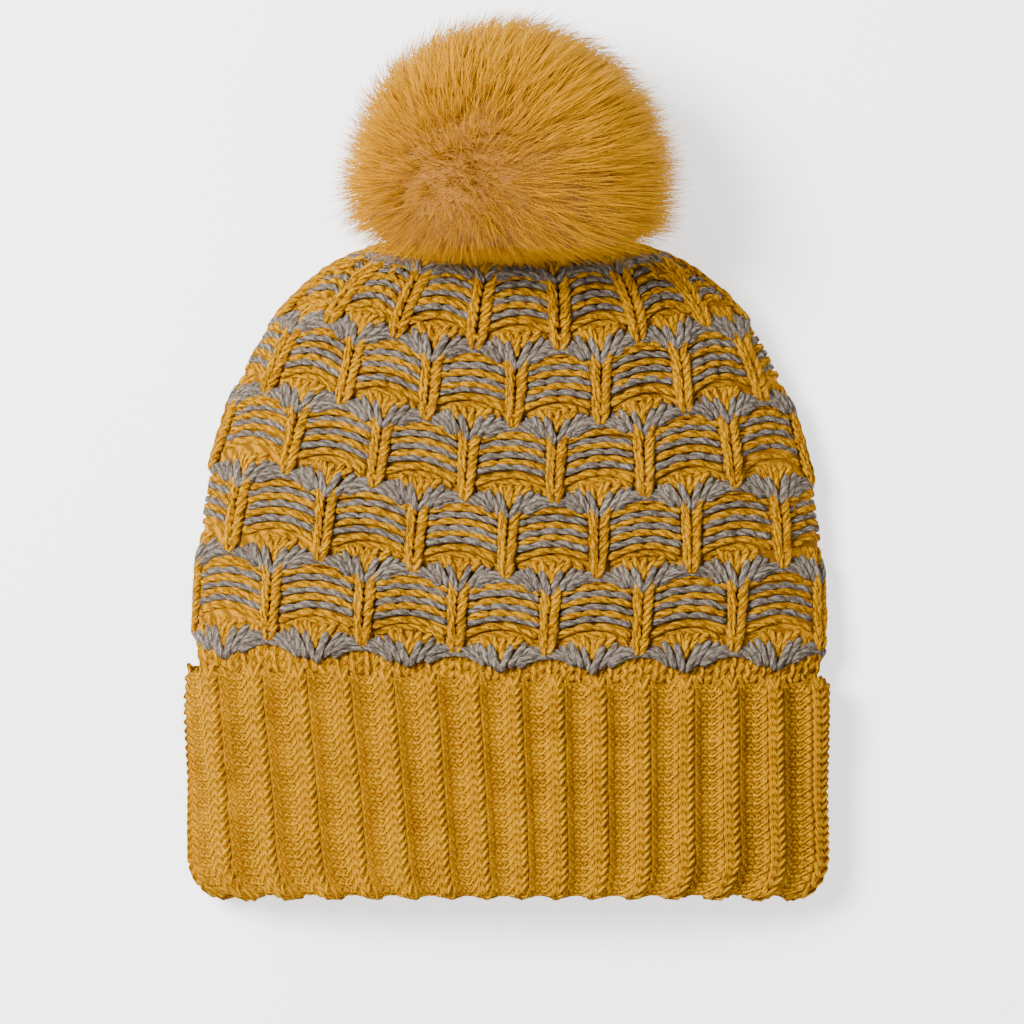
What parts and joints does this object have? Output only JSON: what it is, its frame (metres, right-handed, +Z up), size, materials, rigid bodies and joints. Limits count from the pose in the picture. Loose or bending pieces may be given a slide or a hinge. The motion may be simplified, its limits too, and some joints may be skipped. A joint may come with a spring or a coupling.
{
  "type": "pom pom beanie",
  "caption": "Knitted pom pom beanie lying flat, with a turned-up ribbed cuff that folds down and a fur pom that snaps off.",
  "frame": {"origin": "on the table under the middle of the hat's overall box", "axes": "+X across the hat, +Y from the rim towards the pom, +Z up from the table"},
  "size_m": [0.23, 0.312, 0.111],
  "materials": {
    "mustard_wool_knit": "matte",
    "grey_heather_yarn": "matte",
    "mustard_fur": "matte",
    "pile_backing": "matte",
    "fibre_fill": "matte",
    "sewing_thread": "matte",
    "label_satin": "satin",
    "felt": "matte",
    "base_leather": "matte",
    "stud_brass": "satin",
    "spring_steel": "satin"
  },
  "bodies": {
    "hat": {"knit_body": "mustard_wool_knit", "rib_band": "mustard_wool_knit", "grey_yarn_band_1": "grey_heather_yarn", "grey_yarn_band_2": "grey_heather_yarn", "grey_yarn_band_3": "grey_heather_yarn", "grey_yarn_band_4": "grey_heather_yarn", "grey_yarn_band_5": "grey_heather_yarn", "grey_yarn_band_6": "grey_heather_yarn", "back_seam_yarn": "mustard_wool_knit", "crown_gather_yarn": "mustard_wool_knit", "care_label": "label_satin", "label_stitches": "sewing_thread", "crown_washer": "felt", "stud_cap": "stud_brass", "press_stud": "stud_brass"},
    "cuff": {"turned_up_cuff": "mustard_wool_knit"},
    "spring_ring": {"socket_spring": "spring_steel"},
    "socket": {"snap_socket": "stud_brass", "socket_cap": "stud_brass", "pom_base_disc": "base_leather"},
    "tie": {"pom_tie_thread": "sewing_thread"},
    "pom": {"pom_hide": "pile_backing", "pom_hide_neck": "pile_backing", "pom_gather_thread": "sewing_thread", "pom_stuffing": "fibre_fill", "pom_fur_pile": "mustard_fur"}
  },
  "joints": [
    {"name": "cuff_fold_down", "type": "slide", "parent": "hat", "child": "cuff", "axis": [0, -1, 0], "range_m": [0, 0.076]},
    {"name": "pom_pull_off", "type": "slide", "parent": "hat", "child": "spring_ring", "axis": [0, 1, 0], "range_m": [0, 0.05]},
    {"name": "pom_spin", "type": "hinge", "parent": "spring_ring", "child": "socket", "pos_m": [0, 0.0805, 0.031], "axis": [0, 1, 0], "continuous": true},
    {"name": "pom_nod", "type": "hinge", "parent": "socket", "child": "tie", "pos_m": [0, 0.0897, 0.031], "axis": [1, 0, 0], "range_deg": [-15, 15]},
    {"name": "pom_sway", "type": "hinge", "parent": "tie", "child": "pom", "pos_m": [0, 0.0897, 0.031], "axis": [0, 0, 1], "range_deg": [-15, 15]}
  ]
}
